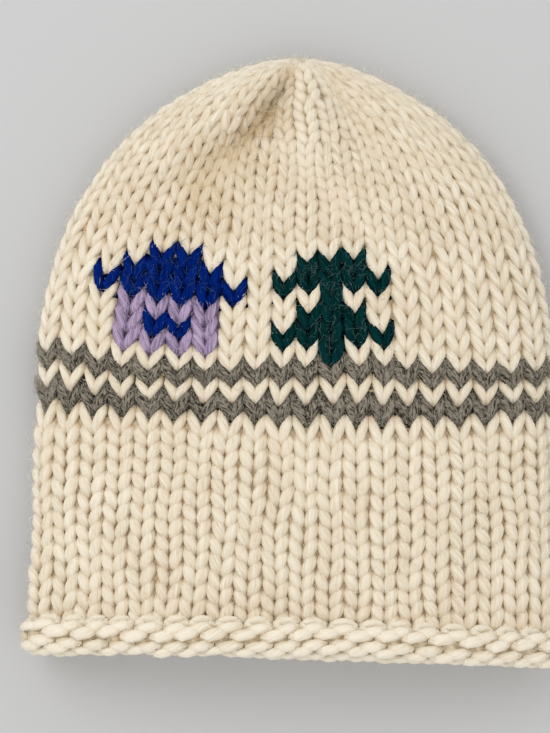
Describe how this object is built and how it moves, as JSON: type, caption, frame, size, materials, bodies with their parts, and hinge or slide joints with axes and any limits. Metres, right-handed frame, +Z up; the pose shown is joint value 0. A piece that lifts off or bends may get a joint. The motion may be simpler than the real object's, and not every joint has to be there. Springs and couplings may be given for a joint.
{
  "type": "knitted beanie",
  "caption": "Chunky hand-knitted beanie with a rolled hem, grey stripes and a house and tree worked into the front, lying flat on its back.",
  "frame": {"origin": "middle of the underside of the hat as it lies on its back", "axes": "+Z up from the surface it lies on, out of the hat's front; +Y from the hem to the crown; +X across, to the tree's side"},
  "size_m": [0.2156, 0.245, 0.0445],
  "materials": {
    "cream_wool": "matt spun wool",
    "grey_wool": "matt fuzzy wool",
    "blue_wool": "matt spun wool",
    "lilac_wool": "matt spun wool",
    "green_wool": "matt fuzzy wool"
  },
  "bodies": {
    "root": {"rolled_hem": "cream_wool", "body": "cream_wool", "lower_grey_round": "grey_wool", "cream_round": "cream_wool", "upper_grey_round": "grey_wool", "crown": "cream_wool", "house_roof": "blue_wool", "house_window": "blue_wool", "house_wall": "lilac_wool", "tree": "green_wool"}
  },
  "joints": []
}
